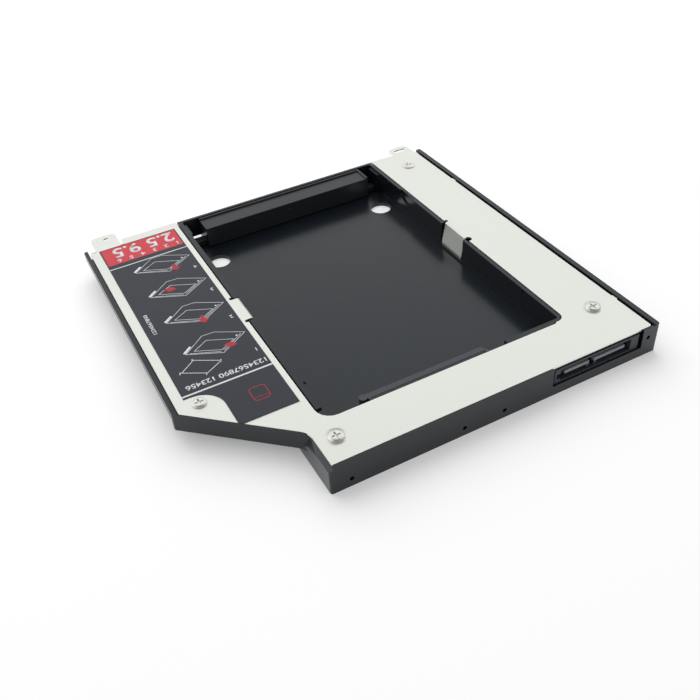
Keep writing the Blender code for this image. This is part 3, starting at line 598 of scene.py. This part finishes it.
def print_marks():
    """The thinner red marks in the pictures and the drive sign."""
    bm = bmesh.new()
    first, second, third, fourth = tray_rows
    ink_arrow(bm, 7.3, first + 9.0, 1.9)
    ink_lozenge(bm, 12.6, second + 4.5, 1.9)
    ink_arrow(bm, 9.1, third + 9.2, 1.9)
    ink_lozenge(bm, 6.7, fourth + 7.9, 1.8)
    ink_outline(bm, [(5.2, 86.8), (9.9, 86.8), (9.9, 92.2), (5.2, 92.2)], 1.3 * fine_line, 1.1 * MM)
    ink_stroke(bm, (5.3, 90.9), (9.8, 90.9), fine_line)
    place_piece("label_mark_print", bm, mark_ink, "caddy")


def middle_and_half(name):
    """A node's centre and half its width."""
    low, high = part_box(name)
    return (low + high) / 2, (high.x - low.x) / 2


ejectors = [Vector((x, y, 0.0)) for x in ejector_columns for y in ejector_rows]
frame_black = moulded_black("frame_black", (0.0078, 0.0102, 0.0136), 0.15, ejectors)
retainer_black = moulded_black("retainer_black", (0.0165, 0.0185, 0.0220), 0.26)
paint(["frame"], frame_black)
paint(["drive_retainer"], retainer_black)
round_edges("frame", "moulded_frame", frame_black, "caddy")
round_edges("drive_retainer", "moulded_retainer", retainer_black, "retainer")
pan_heads = ["cover_screw_near_left", "cover_screw_near_right"]
paint(["cover_plate"], satin_sheet([middle_and_half(name)[0] for name in pan_heads]))
paint(["label"], printed_film())
plug_nylon = moulded_nylon("plug_nylon", (0.026, 0.030, 0.039), (0.040, 0.046, 0.057),
                           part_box("host_connector"))
socket_nylon = moulded_nylon("socket_nylon", (0.040, 0.045, 0.055), (0.058, 0.065, 0.078))
# A darker nylon for the socket's step: painted shade in the step behind the lip.
painted_groove_shade = moulded_nylon("painted_groove_shade", (0.014, 0.016, 0.020), (0.024, 0.027, 0.032))
paint(["host_connector"], plug_nylon)
paint(["drive_connector"], socket_nylon)
groove_socket(socket_nylon, painted_groove_shade)
paint(["adapter_board"], solder_mask())
paint([name for name in nodes if "_contact_" in name], contact_gold())
for name in nodes:
    if name.startswith("cover_screw"):
        crown = pan_crown if name in pan_heads else flush_crown
        paint([name], turned_steel(name + "_steel", *middle_and_half(name), crown))
    if name.startswith("board_capacitor"):
        paint([name], chip_ceramic(name + "_ceramic", *middle_and_half(name)))
print_white()
print_red()
print_marks()


def lay_floor():
    """A wide matt floor that the camera and reflections see as almost white, with its shadows kept."""
    bm = bmesh.new()
    bmesh.ops.create_grid(bm, x_segments=1, y_segments=1, size=floor_reach)
    mesh = bpy.data.meshes.new("floor")
    bm.to_mesh(mesh)
    bm.free()
    floor = bpy.data.objects.new("floor", mesh)
    bpy.context.scene.collection.objects.link(floor)
    finish = Finish("floor_paper", {"Roughness": 0.9, "Specular IOR Level": 0.0, "Emission Strength": 1.0})
    finish.colour((floor_tone, floor_tone, floor_tone, 1.0))
    path = finish.tree.nodes.new("ShaderNodeLightPath")
    seen = Signal(finish.tree, path.outputs["Is Camera Ray"])
    mirrored = Signal(finish.tree, path.outputs["Is Glossy Ray"])
    through = Signal(finish.tree, path.outputs["Is Transmission Ray"])
    lift = floor_lift + far_lift * finish.radius(Vector()).smooth(*lift_range)
    finish.feed(finish.shader.inputs["Emission Color"],
                finish.blend((0.0, 0.0, 0.0), (1.0, 1.0, 1.0), lift * (seen + mirrored + through)))
    mesh.materials.append(finish.material)


def hang_lights():
    """A pale sky, a broad soft lamp beyond the far side and a weak lamp that only edges mirror.

    The sky lights everything at one level. Reflections see it dimmer near the camera and overhead,
    which gives bare metal and gloss black their contrast.
    """
    world = bpy.data.worlds.new("studio")
    bpy.context.scene.world = world
    world.use_nodes = True
    tree = world.node_tree
    sky = tree.nodes["Background"]
    path = tree.nodes.new("ShaderNodeLightPath")
    seen = Signal(tree, path.outputs["Is Camera Ray"])
    mirrored = Signal(tree, path.outputs["Is Glossy Ray"])
    through = Signal(tree, path.outputs["Is Transmission Ray"])
    around = tree.nodes.new("ShaderNodeTexCoord")
    split = tree.nodes.new("ShaderNodeSeparateXYZ")
    tree.links.new(around.outputs["Generated"], split.inputs["Vector"])
    depth = Signal(tree, split.outputs["Y"]).smooth(*near_to_far)
    height = Signal(tree, split.outputs["Z"]).smooth(*low_to_bright)
    zenith = Signal(tree, split.outputs["Z"]).smooth(*bright_to_high)
    arch = low_sky + (bright_sky - low_sky) * height
    reflection = near_sky + depth * (arch - near_sky)
    reflection = reflection + zenith * (high_sky - reflection)
    level = sky_level + (1.0 - sky_level) * (seen + through) + mirrored * (reflection - sky_level)
    tree.links.new(level.socket, sky.inputs["Strength"])
    sky.inputs["Color"].default_value = (1.0, 1.0, 1.0, 1.0)
    hang_lamp("soft_lamp", soft_size, soft_power, soft_place).visible_glossy = False
    hang_lamp("edge_lamp", edge_size, edge_power, edge_place).visible_diffuse = False


def hang_lamp(name, size, power, place):
    """A round soft lamp that points at the middle of the floor."""
    lamp = bpy.data.lights.new(name, "AREA")
    lamp.shape = "DISK"
    lamp.size = size
    lamp.energy = power
    holder = bpy.data.objects.new(name, lamp)
    holder.location = place
    holder.rotation_mode = "QUATERNION"
    holder.rotation_quaternion = place.to_track_quat("Z", "Y")
    holder.visible_camera = False
    bpy.context.scene.collection.objects.link(holder)
    return holder


def set_camera():
    """The photograph's viewpoint."""
    back = Vector((math.sin(camera_azimuth) * math.cos(camera_elevation),
                   -math.cos(camera_azimuth) * math.cos(camera_elevation),
                   math.sin(camera_elevation)))
    right = (-back).cross(Vector((0, 0, 1))).normalized()
    up = right.cross(-back)
    across = math.cos(camera_roll) * right + math.sin(camera_roll) * up
    upright = math.cos(camera_roll) * up - math.sin(camera_roll) * right
    camera = bpy.data.cameras.new("camera")
    camera.sensor_width = 36.0
    camera.lens = camera.sensor_width * focal_pixels / picture_pixels
    camera.clip_start = 0.01
    camera.clip_end = 50.0
    holder = bpy.data.objects.new("camera", camera)
    turn = Matrix((across, upright, back)).transposed()
    holder.matrix_world = Matrix.Translation(camera_target + camera_distance * back) @ turn.to_4x4()
    bpy.context.scene.collection.objects.link(holder)
    bpy.context.scene.camera = holder


lay_floor()
hang_lights()
set_camera()
bpy.context.scene.view_settings.view_transform = "Standard"
